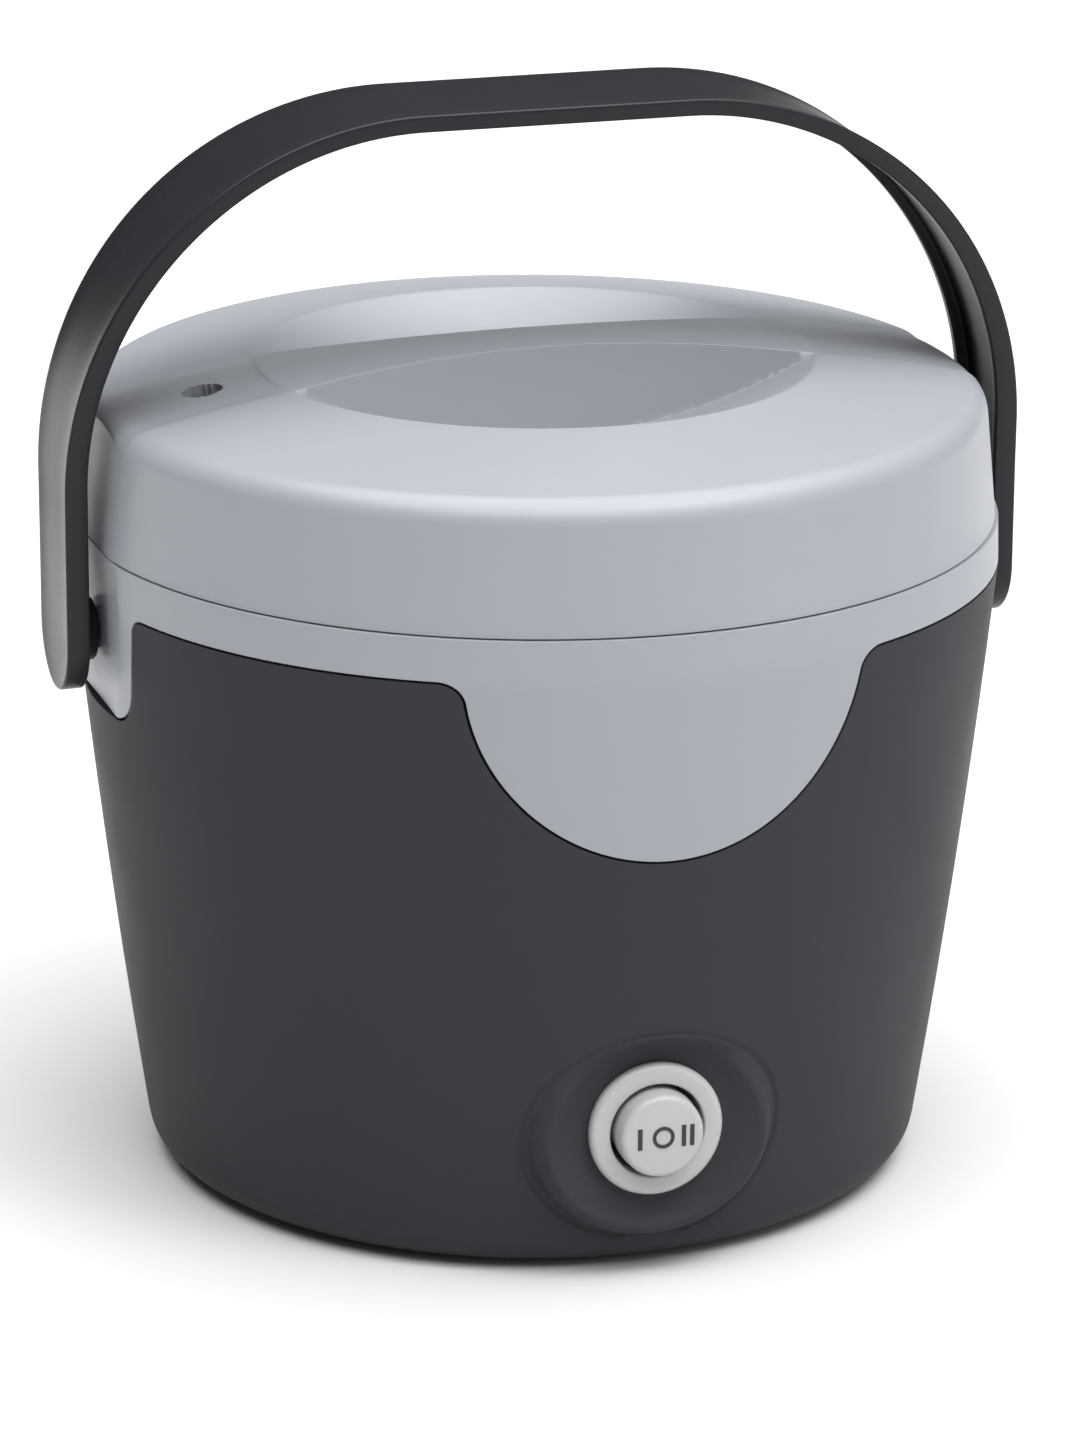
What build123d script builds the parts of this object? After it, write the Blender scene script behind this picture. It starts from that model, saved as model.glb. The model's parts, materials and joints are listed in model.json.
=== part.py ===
from build123d import *
from math import asin, cos, degrees, radians, sin, sqrt, tan
import os

# A lunch-size slow cooker with a swinging carry handle, in millimetres. +Z is up, the front with the
# switch faces -Y, and the handle turns about an axis along X. The origin is in the middle of the base,
# on the surface that the rubber feet stand on.

os.makedirs("parts", exist_ok=True)

# Outer wall: a barrel curve, radius = base + flare * height - bulge * height squared
wall_base_radius = 73.34
wall_flare = 0.1483
wall_bulge = 0.0001554
wall_thickness = 2.5
body_bottom = 1.0
body_blank_top = 118.6
body_rim_top = 3.6
body_rim_radius = 67.0
body_corner_radius = 7.0

# Collar: the ring under the lid, with a round shield in front and an ear at each handle pivot
seam_height = 126.3
collar_bottom = 118.3
collar_top_radius = 88.3
collar_depth = 4.8
collar_gap = 0.5
tongue_inset = 2.8
tongue_reach = 2.6
shield_radius = 37.6
shield_centre_height = 120.7
shield_corner_radius = 5.0
ear_top_half_width = 24.6
ear_bottom_half_width = 19.3
ear_bottom = 95.7
ear_corner_radius = 9.0
ear_top_fillet = 4.0
flat_bottom = (84.8, 94.0)
flat_seam = (86.2, 126.3)
flat_lid_top = (83.0, 154.8)

# Heating well and crock
well_rim_height = 120.2
well_sheet = 1.0
well_top_radius = 72.2
well_bottom_radius = 68.1
well_floor_height = 48.6
well_flange_radius = 82.5
crock_rim_low = 120.5
crock_rim_high = 124.7
crock_rim_radius = 77.5
crock_top_radius = 70.6
crock_bottom_radius = 66.4
crock_floor_height = 50.4
crock_wall = 4.2

# Lid
lid_low = 126.6
lid_skirt_radius = 87.6
lid_corner_radius = 85.4
lid_crown_height = 159.2
lid_crown_sphere = 406.0
lid_shoulder_radius = 8.0
lid_thickness = 2.4
bowl_sphere = 105.0
bowl_floor_height = 141.6
bridge_half_width = 7.5
bridge_tip = (51.0, 14.2)
vent_place = (-64.5, 0.0)
vent_radius = 3.9

# Bail handle, seen from the front: outer and inner lines; seen from the side: its width
pivot_height = 109.5
bail_outer_x = 93.3
bail_inner_x = 89.0
bail_corner_x = 25.3
bail_outer_corner = 68.0
bail_inner_corner = 63.7
bail_outer_top = 206.0
bail_inner_top = 202.8
bail_arm_half_width = 11.15
bail_top_half_width = 14.8
bail_web = 1.9
bail_flange = 2.3
journal_radius = 4.0
journal_clearance = 0.06
journal_end = 79.2
pivot_boss_face = 79.5

# Switch, in a dished pad on the front wall
switch_height = 28.8
pad_half_width = 23.6
pad_half_height = 20.1
pad_height = 27.5
pad_front = 77.6
pad_back = 73.2
seat_front = 75.8
bezel_front = 78.2
bezel_radius = 12.8
barrel_radius = 10.0
rocker_opening = 9.05
rocker_radius = 7.9
rocker_front = 81.6
rocker_axis = 74.5
trunnion_radius = 1.2

# Appliance inlet, in a pocket on the back wall
inlet_height = 28.0
inlet_seat = 71.4
inlet_pocket = (42.0, 26.0)

# Base
cover_low = 1.2
cover_high = 4.2
cover_radius = 66.6
shield_plate_low = 42.6
shield_plate_high = 43.2
strap_low = 38.2
strap_high = 39.4
lead_radius = 1.2
tab_stand_off = 2.1

CENTRED_LOW = (Align.CENTER, Align.CENTER, Align.MIN)


def wall_radius(height):
    """Outer radius of the barrel-shaped wall at a height."""
    return wall_base_radius + wall_flare * height - wall_bulge * height**2


def wall_edge(low, high, inset):
    """The wall's curve between two heights, moved inwards by an inset."""
    middle = (low + high) / 2
    return ThreePointArc(
        (wall_radius(low) - inset, low),
        (wall_radius(middle) - inset, middle),
        (wall_radius(high) - inset, high),
    )


def cone_radius(height, low, high):
    """Radius of a straight cone through two (radius, height) points."""
    share = (height - low[1]) / (high[1] - low[1])
    return low[0] + share * (high[0] - low[0])


def well_outside(height):
    """Outer radius of the heating well."""
    low = (well_bottom_radius, well_floor_height)
    high = (well_top_radius, well_rim_height)
    return cone_radius(height, low, high) + well_sheet


def crown_height(radius):
    """Height of the lid's outer dome at a radius."""
    return lid_crown_height - lid_crown_sphere + sqrt(lid_crown_sphere**2 - radius**2)


def finish(builder, name):
    """Label a finished sub-part and write it as STEP."""
    builder.part.label = name
    export_step(builder.part, f"parts/{name}.step")


def collar_region(grow):
    """Space of the collar ring, its shield and its ears, grown outwards on every side."""
    low = collar_bottom - grow
    with BuildPart() as region:
        with BuildSketch(Plane.XZ) as shield:
            with Locations((0, shield_centre_height)):
                Circle(shield_radius + grow)
            with Locations((0, low)):
                Rectangle(120, 50, align=(Align.CENTER, Align.MIN))
            corners = shield.vertices().filter_by(lambda v: abs(v.Y - low) < 0.01 and abs(v.X) < 50)
            fillet(corners, shield_corner_radius - grow)
        extrude(amount=100)
        with BuildSketch(Plane.YZ) as ear:
            with BuildLine():
                Polyline(
                    (-ear_bottom_half_width - grow, ear_bottom - grow),
                    (ear_bottom_half_width + grow, ear_bottom - grow),
                    (ear_top_half_width + grow, collar_bottom),
                    (-ear_top_half_width - grow, collar_bottom),
                    close=True,
                )
            make_face()
            fillet(ear.vertices().group_by(Axis.Y)[0], ear_corner_radius + grow)
            with Locations((0, low)):
                Rectangle(120, 50, align=(Align.CENTER, Align.MIN))
            corners = ear.vertices().filter_by(lambda v: abs(v.Y - low) < 0.01 and abs(v.X) < 50)
            fillet(corners, ear_top_fillet - grow)
        extrude(amount=100, both=True)
        with Locations((0, 0, low)):
            Cylinder(130, 20, align=CENTRED_LOW)
    return region.part


def finger_recesses(grow):
    """The two scoops in the lid: a bowl with a waisted bridge left across it, grown outwards."""
    half = bridge_half_width - grow
    reach = 70.0
    rise = (bridge_tip[1] - bridge_half_width) * (reach / bridge_tip[0]) ** 2
    with BuildPart() as scoops:
        with BuildSketch(Plane.XY.offset(125)):
            with BuildLine():
                edge = ThreePointArc((-reach, half + rise), (0, half), (reach, half + rise))
                Polyline(edge @ 1, (reach, 70), (-reach, 70), edge @ 0)
            make_face()
            mirror(about=Plane.XZ)
        extrude(amount=50)
        with Locations((0, 0, bowl_floor_height + bowl_sphere)):
            Sphere(bowl_sphere + grow, mode=Mode.INTERSECT)
    return scoops.part


def bail_front(outer_inset, low):
    """Face between the handle's outer and inner lines, seen from the front."""
    arm = bail_outer_x - outer_inset
    top = bail_outer_top - outer_inset
    bend = bail_outer_corner - outer_inset
    inner_bend_height = bail_inner_top - bail_inner_corner
    outer_bend_height = bail_outer_top - bail_outer_corner
    with BuildSketch(Plane.XZ) as outline:
        with BuildLine():
            Line((arm, low), (arm, outer_bend_height))
            CenterArc((bail_corner_x, outer_bend_height), bend, 0, 90)
            Line((bail_corner_x, top), (0, top))
            Line((0, top), (0, bail_inner_top))
            Line((0, bail_inner_top), (bail_corner_x, bail_inner_top))
            CenterArc((bail_corner_x, inner_bend_height), bail_inner_corner, 0, 90)
            Line((bail_inner_x, inner_bend_height), (bail_inner_x, low))
            Line((bail_inner_x, low), (arm, low))
        make_face()
        mirror(about=Plane.YZ)
    return outline.sketch


def bail_side(inset):
    """Face of the handle's width, seen from the side, with a round lower end."""
    arm = bail_arm_half_width - inset
    top = bail_top_half_width - inset
    with BuildSketch(Plane.YZ) as outline:
        with BuildLine():
            Polyline((arm, pivot_height), (arm, 134), (top, 198), (top, 215), (0, 215))
            CenterArc((0, pivot_height), arm, -90, 90)
            Line((0, pivot_height - arm), (0, 215))
        make_face()
        mirror(about=Plane.YZ)
    return outline.sketch


def sleeve(low, high, near, far, start):
    """Profile of a conical sleeve lying parallel to the well's side, at a start angle."""
    with BuildSketch(Plane.XZ.rotated((0, 0, start))) as outline:
        with BuildLine():
            Polyline(
                (well_outside(low) + near, low),
                (well_outside(low) + far, low),
                (well_outside(high) + far, high),
                (well_outside(high) + near, high),
                close=True,
            )
        make_face()
    return outline.sketch


collar_space = collar_region(0)
body_cutout = collar_region(collar_gap)
tongue_space = collar_region(tongue_reach)
ledge_cutout = collar_region(tongue_reach + 0.6)

# ---------------------------------------------------------------- outer body
with BuildPart() as body_ledge:
    with BuildSketch(Plane.XZ):
        with BuildLine():
            outside = wall_edge(112.6, 115.2, wall_thickness - 0.3)
            inside = wall_edge(112.6, 115.2, collar_depth + 0.4)
            Line(outside @ 0, inside @ 0)
            Line(outside @ 1, inside @ 1)
        make_face()
    revolve(axis=Axis.Z)
    add(ledge_cutout, mode=Mode.SUBTRACT)

with BuildPart() as outer_body:
    with BuildSketch(Plane.XZ) as body_section:
        with BuildLine():
            outside = wall_edge(body_bottom, body_blank_top, 0)
            inside = wall_edge(body_rim_top, body_blank_top, wall_thickness)
            Line(outside @ 1, inside @ 1)
            Polyline(
                outside @ 0,
                (body_rim_radius, body_bottom),
                (body_rim_radius, body_rim_top),
                inside @ 0,
            )
        make_face()
        bottom_corner = body_section.vertices().group_by(Axis.Y)[0].sort_by(Axis.X)[-1]
        fillet(bottom_corner, body_corner_radius)
        rim_corners = body_section.vertices().filter_by(lambda v: abs(v.Y - body_rim_top) < 0.01)
        inner_corner = rim_corners.sort_by(Axis.X)[-1]
        fillet(inner_corner, body_corner_radius - wall_thickness)
    revolve(axis=Axis.Z)
    add(body_cutout, mode=Mode.SUBTRACT)
    add(body_ledge.part)
    # Switch pad: an upright oval facet, proud at the foot of the wall and let into it at the top
    with BuildSketch(Plane.XZ.offset(pad_back)):
        with Locations((0, pad_height)):
            Ellipse(pad_half_width, pad_half_height)
    extrude(amount=pad_front - pad_back)
    with BuildSketch(Plane.XZ.offset(pad_front)):
        with Locations((0, pad_height)):
            Ellipse(pad_half_width, pad_half_height)
    extrude(amount=12, mode=Mode.SUBTRACT)
    with BuildSketch(Plane.XZ.offset(pad_front)):
        with Locations((0, switch_height)):
            Circle(17.5)
    with BuildSketch(Plane.XZ.offset(seat_front)):
        with Locations((0, switch_height)):
            Circle(bezel_radius + 0.9)
    loft(mode=Mode.SUBTRACT)
    with BuildSketch(Plane.XZ.offset(pad_back - 5)):
        with Locations((0, switch_height)):
            Circle(barrel_radius + 0.1)
    extrude(amount=20, mode=Mode.SUBTRACT)
    # Inlet pocket in the back wall, with the thickened seat that the inlet is screwed to
    with BuildSketch(Plane.XZ.offset(-inlet_seat)):
        with Locations((0, inlet_height)):
            RectangleRounded(inlet_pocket[0] + 4, inlet_pocket[1] + 4, 5)
    extrude(amount=3)
    with BuildSketch(Plane.XZ.offset(-inlet_seat)):
        with Locations((0, inlet_height)):
            RectangleRounded(inlet_pocket[0], inlet_pocket[1], 4)
    extrude(amount=-12, mode=Mode.SUBTRACT)
    with BuildSketch(Plane.XZ.offset(-inlet_seat - 1)):
        with Locations((0, inlet_height)):
            RectangleRounded(25.4, 18.6, 2.5)
        with Locations((-16.6, inlet_height), (16.6, inlet_height)):
            Circle(1.3)
    extrude(amount=8, mode=Mode.SUBTRACT)
    # Screw posts for the base cover, each with a rib to the wall
    with PolarLocations(60.5, 4, start_angle=45):
        with Locations((0, 0, cover_high)):
            Cylinder(4.2, 20, align=CENTRED_LOW)
        with Locations((7.2, 0, cover_high)):
            Box(8.0, 2.0, 18, align=CENTRED_LOW)
        with Locations((0, 0, cover_high)):
            Cylinder(1.5, 15, align=CENTRED_LOW, mode=Mode.SUBTRACT)
    # Tall posts for the strap that ties the heating well down
    with PolarLocations(64.0, 2, start_angle=0):
        with Locations((0, 0, 12)):
            Cylinder(4.5, strap_low - 12, align=CENTRED_LOW)
        with Locations((6.5, 0, 12)):
            Box(9.0, 2.4, strap_low - 16, align=CENTRED_LOW)
        with Locations((0, 0, strap_low - 12)):
            Cylinder(1.5, 14, align=CENTRED_LOW, mode=Mode.SUBTRACT)
finish(outer_body, "outer_body")

# ---------------------------------------------------------------- collar
with BuildPart() as collar_face:
    with BuildSketch(Plane.XZ):
        with BuildLine():
            outside = wall_edge(78, 118.0, 0)
            inside = wall_edge(78, 118.0, collar_depth)
            Line(outside @ 0, inside @ 0)
            Line(outside @ 1, (collar_top_radius, seam_height))
            Line((collar_top_radius, seam_height), (collar_top_radius - collar_depth, seam_height))
            Line((collar_top_radius - collar_depth, seam_height), inside @ 1)
        make_face()
    revolve(axis=Axis.Z)
    add(collar_space, mode=Mode.INTERSECT)

with BuildPart() as collar:
    with BuildSketch(Plane.XZ):
        with BuildLine():
            outside = wall_edge(78, 118.0, tongue_inset)
            inside = wall_edge(78, 118.0, collar_depth)
            Line(outside @ 0, inside @ 0)
            Line(outside @ 1, inside @ 1)
        make_face()
    revolve(axis=Axis.Z)
    add(tongue_space, mode=Mode.INTERSECT)
    add(collar_face.part)
    # Ledge that carries the well's flange on its gasket
    with BuildSketch(Plane.XZ):
        with Locations((77.5, 116.0)):
            Rectangle(7.0, 2.2, align=(Align.MIN, Align.MIN))
    revolve(axis=Axis.Z)
    # Pivot bosses behind the ears
    with BuildSketch(Plane.YZ.offset(pivot_boss_face)):
        with Locations((0, pivot_height)):
            Circle(7.6)
    extrude(amount=4.5)
    with BuildSketch(Plane.YZ.offset(-pivot_boss_face)):
        with Locations((0, pivot_height)):
            Circle(7.6)
    extrude(amount=-4.5)
    # Side flats that the handle's arms swing past
    with BuildSketch(Plane.XZ):
        with BuildLine():
            Polyline(flat_bottom, flat_seam, (100, seam_height), (100, flat_bottom[1]), close=True)
        make_face()
        mirror(about=Plane.YZ)
    extrude(amount=40, both=True, mode=Mode.SUBTRACT)
    with BuildSketch(Plane.YZ):
        with Locations((0, pivot_height)):
            Circle(journal_radius + journal_clearance)
    extrude(amount=100, both=True, mode=Mode.SUBTRACT)
finish(collar, "collar")

# ---------------------------------------------------------------- base
with BuildPart() as base_cover:
    with Locations((0, 0, cover_low)):
        Cylinder(cover_radius, cover_high - cover_low, align=CENTRED_LOW)
    chamfer(base_cover.edges().group_by(Axis.Z)[0], 0.6)
    with Locations((0, 0, cover_high)):
        Cylinder(45, 2.0, align=CENTRED_LOW)
        Cylinder(43, 2.0, align=CENTRED_LOW, mode=Mode.SUBTRACT)
    with PolarLocations(60.5, 4, start_angle=45):
        with Locations((0, 0, cover_low)):
            Cylinder(3.3, 2.0, align=CENTRED_LOW, mode=Mode.SUBTRACT)
            Cylinder(1.6, 4.0, align=CENTRED_LOW, mode=Mode.SUBTRACT)
    with PolarLocations(55, 4, start_angle=0):
        with Locations((0, 0, cover_low)):
            Cylinder(7.1, 1.2, align=CENTRED_LOW, mode=Mode.SUBTRACT)
    with BuildSketch(Plane.XY.offset(cover_low)):
        with GridLocations(8, 44, 5, 2):
            SlotOverall(16, 2.6, rotation=90)
    extrude(amount=6, mode=Mode.SUBTRACT)
finish(base_cover, "base_cover")

with BuildPart() as rubber_feet:
    with PolarLocations(55, 4, start_angle=0):
        Cylinder(7.0, cover_low + 1.2, align=CENTRED_LOW)
    chamfer(rubber_feet.edges().group_by(Axis.Z)[0], 0.5)
finish(rubber_feet, "rubber_feet")

with BuildPart() as base_screws:
    with PolarLocations(60.5, 4, start_angle=45):
        with Locations((0, 0, cover_low + 0.3)):
            Cylinder(2.9, 1.7, align=CENTRED_LOW)
            Cylinder(1.45, 14.0, align=CENTRED_LOW)
        with Locations((0, 0, cover_low + 0.3)):
            Box(3.4, 0.7, 0.8, align=CENTRED_LOW, mode=Mode.SUBTRACT)
            Box(0.7, 3.4, 0.8, align=CENTRED_LOW, mode=Mode.SUBTRACT)
finish(base_screws, "base_screws")

# ---------------------------------------------------------------- heating well
with BuildPart() as heating_well:
    with BuildSketch(Plane.XZ) as well_section:
        with BuildLine():
            Polyline(
                (0, well_floor_height),
                (well_bottom_radius, well_floor_height),
                (well_top_radius, well_rim_height),
                (well_flange_radius, well_rim_height),
                (well_flange_radius, well_rim_height - well_sheet),
                (well_top_radius + well_sheet, well_rim_height - well_sheet),
                (well_bottom_radius + well_sheet, well_floor_height - well_sheet),
                (0, well_floor_height - well_sheet),
                close=True,
            )
        make_face()
        inner = well_section.vertices().filter_by(lambda v: abs(v.Y - well_floor_height) < 0.01 and v.X > 1)
        fillet(inner, 7.0)
        outer = well_section.vertices().filter_by(
            lambda v: abs(v.Y - well_floor_height + well_sheet) < 0.01 and v.X > 1
        )
        fillet(outer, 8.0)
    revolve(axis=Axis.Z)
finish(heating_well, "heating_well")

with BuildPart() as well_gasket:
    with BuildSketch(Plane.XZ):
        with Locations((78.0, 118.2)):
            Rectangle(4.5, 1.0, align=(Align.MIN, Align.MIN))
    revolve(axis=Axis.Z)
finish(well_gasket, "well_gasket")

with BuildPart() as heater_band:
    revolve(sleeve(56, 98, 0.15, 1.75, 96), axis=Axis.Z, revolution_arc=348)
    # Riveted tabs along the lower edge for the three supply leads
    for angle in (-30, -20, 20):
        with Locations(Rot(0, 0, angle)):
            with Locations((well_outside(56) + tab_stand_off, 0, 50)):
                Box(1.2, 5.0, 9.0, align=CENTRED_LOW)
finish(heater_band, "heater_band")

with BuildPart() as band_clamps:
    for low in (64, 84):
        revolve(sleeve(low, low + 7, 1.85, 2.45, 94), axis=Axis.Z, revolution_arc=352)
finish(band_clamps, "band_clamps")

with BuildPart() as insulation_wrap:
    with BuildSketch(Plane.XZ):
        with BuildLine():
            Polyline((74.9, 54), (77.6, 54), (78.8, 95), (76.1, 95), close=True)
        make_face()
    revolve(axis=Axis.Z)
finish(insulation_wrap, "insulation_wrap")

thermostat_place = (26.0, 24.0)
fuse_place = (-28.0, 22.0)
fuse_height = 45.5

with BuildPart() as heat_shield:
    with Locations((0, 0, shield_plate_low)):
        Cylinder(66, shield_plate_high - shield_plate_low, align=CENTRED_LOW)
    with BuildSketch(Plane.XY.offset(shield_plate_low - 1)):
        Circle(2.6)
        with Locations(thermostat_place):
            Circle(10.5)
        with Locations((fuse_place[0] - 16, fuse_place[1]), (fuse_place[0] + 16, fuse_place[1])):
            Circle(5.0)
    extrude(amount=4, mode=Mode.SUBTRACT)
finish(heat_shield, "heat_shield")

with BuildPart() as well_stud:
    with Locations((0, 0, 33)):
        Cylinder(2.5, well_floor_height - well_sheet - 33, align=CENTRED_LOW)
finish(well_stud, "well_stud")

with BuildPart() as stud_spacers:
    for low, high in ((strap_high, shield_plate_low), (shield_plate_high, well_floor_height - well_sheet)):
        with Locations((0, 0, low)):
            Cylinder(5.0, high - low, align=CENTRED_LOW)
            Cylinder(2.6, high - low, align=CENTRED_LOW, mode=Mode.SUBTRACT)
finish(stud_spacers, "stud_spacers")

with BuildPart() as well_strap:
    with BuildSketch(Plane.XY.offset(strap_low)):
        SlotOverall(138, 13)
        Circle(2.6, mode=Mode.SUBTRACT)
        with Locations((-64, 0), (64, 0)):
            Circle(1.7, mode=Mode.SUBTRACT)
    extrude(amount=strap_high - strap_low)
finish(well_strap, "well_strap")

with BuildPart() as stud_nut:
    with BuildSketch(Plane.XY.offset(strap_low - 4.2)):
        RegularPolygon(4.6, 6)
        Circle(2.55, mode=Mode.SUBTRACT)
    extrude(amount=4.2)
finish(stud_nut, "stud_nut")

with BuildPart() as strap_screws:
    with PolarLocations(64.0, 2, start_angle=0):
        with Locations((0, 0, strap_high)):
            Cylinder(2.8, 1.8, align=CENTRED_LOW)
        with Locations((0, 0, strap_high - 11)):
            Cylinder(1.45, 12, align=CENTRED_LOW)
finish(strap_screws, "strap_screws")

# ---------------------------------------------------------------- limiters under the well
with BuildPart() as thermostat:
    with Locations((thermostat_place[0], thermostat_place[1], 38.4)):
        Cylinder(8.0, well_floor_height - well_sheet - 38.5, align=CENTRED_LOW)
    with Locations((thermostat_place[0], thermostat_place[1], 40)):
        Box(30.0, 4.8, 0.8)
finish(thermostat, "thermostat")

with BuildPart() as thermostat_bracket:
    with BuildSketch(Plane.YZ.offset(thermostat_place[0] - 4)):
        with BuildLine():
            Polyline(
                (10.2, 42.6),
                (11.2, 42.6),
                (11.2, 38.2),
                (36.8, 38.2),
                (36.8, 42.6),
                (37.8, 42.6),
                (37.8, 37.2),
                (10.2, 37.2),
                close=True,
            )
        make_face()
    extrude(amount=8)
finish(thermostat_bracket, "thermostat_bracket")

with BuildPart() as thermal_fuse:
    with BuildSketch(Plane.YZ.offset(fuse_place[0] - 8)):
        with Locations((fuse_place[1], fuse_height)):
            Circle(1.7)
    extrude(amount=16)
finish(thermal_fuse, "thermal_fuse")

with BuildPart() as fuse_clip:
    with BuildSketch(Plane.YZ.offset(fuse_place[0] - 3)):
        with Locations((fuse_place[1], fuse_height)):
            Circle(2.3)
            Rectangle(6, 6, align=(Align.CENTER, Align.MIN), mode=Mode.SUBTRACT)
        with Locations((fuse_place[1] + 3, shield_plate_high)):
            Rectangle(7.0, 0.6, align=(Align.CENTER, Align.MIN))
        with Locations((fuse_place[1], fuse_height)):
            Circle(1.75, mode=Mode.SUBTRACT)
    extrude(amount=6)
finish(fuse_clip, "fuse_clip")

# ---------------------------------------------------------------- switch
with BuildPart() as switch_housing:
    with BuildSketch(Plane.XZ.offset(seat_front)):
        with Locations((0, switch_height)):
            Circle(bezel_radius)
    extrude(amount=bezel_front - seat_front)
    fillet(switch_housing.faces().sort_by(Axis.Y)[0].edges(), 1.3)
    with BuildSketch(Plane.XZ.offset(54)):
        with Locations((0, switch_height)):
            Circle(barrel_radius)
    extrude(amount=seat_front - 54)
    with BuildSketch(Plane.XZ.offset(62)):
        with Locations((0, switch_height)):
            Circle(rocker_opening)
    extrude(amount=20, mode=Mode.SUBTRACT)
    chamfer(switch_housing.faces().sort_by(Axis.Y)[0].edges().sort_by(SortBy.RADIUS)[0], 0.45)
    with Locations((0, -rocker_axis, switch_height)):
        Cylinder(trunnion_radius + 0.05, 2 * (barrel_radius - 0.2), mode=Mode.SUBTRACT)
    with Locations((-6, -55, switch_height), (0, -55, switch_height), (6, -55, switch_height)):
        Box(0.9, 4, 4.9, mode=Mode.SUBTRACT)
finish(switch_housing, "switch_housing")

with BuildPart() as switch_terminals:
    with Locations((-6, -51.5, switch_height), (0, -51.5, switch_height), (6, -51.5, switch_height)):
        Box(0.8, 10.6, 4.8)
finish(switch_terminals, "switch_terminals")

with BuildPart() as switch_rocker:
    with BuildSketch(Plane.XZ.offset(70)):
        with Locations((0, switch_height)):
            Circle(7.4)
    with BuildSketch(Plane.XZ.offset(77.4)):
        with Locations((0, switch_height)):
            Circle(8.1)
    loft()
    with BuildSketch(Plane.XZ.offset(77.4)):
        with Locations((0, switch_height)):
            Circle(8.1)
    extrude(amount=rocker_front - 77.4, taper=3)
    fillet(switch_rocker.faces().sort_by(Axis.Y)[0].edges(), 1.0)
    with Locations((0, -rocker_axis, switch_height)):
        Cylinder(trunnion_radius, 2 * (rocker_opening + 0.6))
finish(switch_rocker, "switch_rocker")

with BuildPart() as rocker_marks:
    with BuildSketch(Plane.XZ.offset(rocker_front)):
        with Locations((-4.5, switch_height)):
            Rectangle(0.85, 4.1)
        with Locations((0, switch_height)):
            Circle(2.1)
            Circle(1.45, mode=Mode.SUBTRACT)
        with Locations((3.9, switch_height), (5.5, switch_height)):
            Rectangle(0.8, 4.1)
    extrude(amount=0.12)
finish(rocker_marks, "rocker_marks")

# ---------------------------------------------------------------- appliance inlet
with BuildPart() as inlet_housing:
    with BuildSketch(Plane.XZ.offset(-inlet_seat)):
        with Locations((0, inlet_height)):
            RectangleRounded(inlet_pocket[0] - 1.0, inlet_pocket[1] - 1.0, 3.6)
    extrude(amount=-2.2)
    with BuildSketch(Plane.XZ.offset(-56)):
        with Locations((0, inlet_height)):
            RectangleRounded(24.8, 18.0, 2.2)
    extrude(amount=56 - inlet_seat)
    with BuildSketch(Plane.XZ.offset(-59)):
        with Locations((0, inlet_height)):
            RectangleRounded(21.0, 13.6, 3.0)
    extrude(amount=-20, mode=Mode.SUBTRACT)
    with BuildSketch(Plane.XZ.offset(-inlet_seat)):
        with Locations((-16.6, inlet_height), (16.6, inlet_height)):
            Circle(1.6)
    extrude(amount=-4, mode=Mode.SUBTRACT)
    with BuildSketch(Plane.XZ.offset(-55)):
        with Locations((-5, inlet_height), (5, inlet_height)):
            Rectangle(2.1, 5.1)
    extrude(amount=-6, mode=Mode.SUBTRACT)
finish(inlet_housing, "inlet_housing")

with BuildPart() as inlet_pins:
    for side in (-5, 5):
        with BuildSketch(Plane.XZ.offset(-48)):
            with Locations((side, inlet_height)):
                Rectangle(0.8, 4.8)
        extrude(amount=-8)
        with BuildSketch(Plane.XZ.offset(-56)):
            with Locations((side, inlet_height)):
                Rectangle(2.0, 5.0)
        extrude(amount=-15)
finish(inlet_pins, "inlet_pins")

with BuildPart() as inlet_screws:
    with BuildSketch(Plane.XZ.offset(-inlet_seat - 2.2)):
        with Locations((-16.6, inlet_height), (16.6, inlet_height)):
            Circle(2.7)
    extrude(amount=-1.4)
    with BuildSketch(Plane.XZ.offset(-inlet_seat + 2.6)):
        with Locations((-16.6, inlet_height), (16.6, inlet_height)):
            Circle(1.25)
    extrude(amount=-4.9)
finish(inlet_screws, "inlet_screws")

# ---------------------------------------------------------------- internal leads
with BuildPart() as crimp_terminals:
    for side in (-6, 0, 6):
        with Locations((side, -45, switch_height)):
            Box(2.8, 8, 6.0)
            Box(1.0, 9, 5.0, mode=Mode.SUBTRACT)
    for side in (-5, 5):
        with Locations((side, 47, inlet_height)):
            Box(2.8, 8, 6.0)
            Box(1.0, 9, 5.0, mode=Mode.SUBTRACT)
    for side in (-16, 16):
        with Locations((thermostat_place[0] + side, thermostat_place[1], 40)):
            Box(8, 6.0, 2.8)
            Box(9, 5.0, 1.0, mode=Mode.SUBTRACT)
finish(crimp_terminals, "crimp_terminals")


def tab_place(angle):
    """Plan position of the foot of a heater tab."""
    reach = well_outside(56) + tab_stand_off
    return reach * cos(radians(angle)), reach * sin(radians(angle))


def lead(name, points):
    """A round insulated lead: straight runs joined by the largest even arcs that fit."""
    corners = [Vector(*point) for point in points]
    radii = []
    for before, here, after in zip(corners, corners[1:], corners[2:]):
        turn = (here - before).get_angle(after - here)
        shorter = min((here - before).length, (after - here).length)
        radii.append(0.45 * shorter / tan(radians(turn) / 2))
    with BuildPart() as wire:
        with BuildLine() as route:
            FilletPolyline(*points, radius=radii)
        with BuildSketch(Plane(origin=route.line @ 0, z_dir=route.line % 0)):
            Circle(lead_radius)
        sweep()
    length = sum(edge.length for edge in route.edges())
    print(name, "length", round(length, 1), "radii", [round(radius, 1) for radius in radii])
    finish(wire, name)


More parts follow.
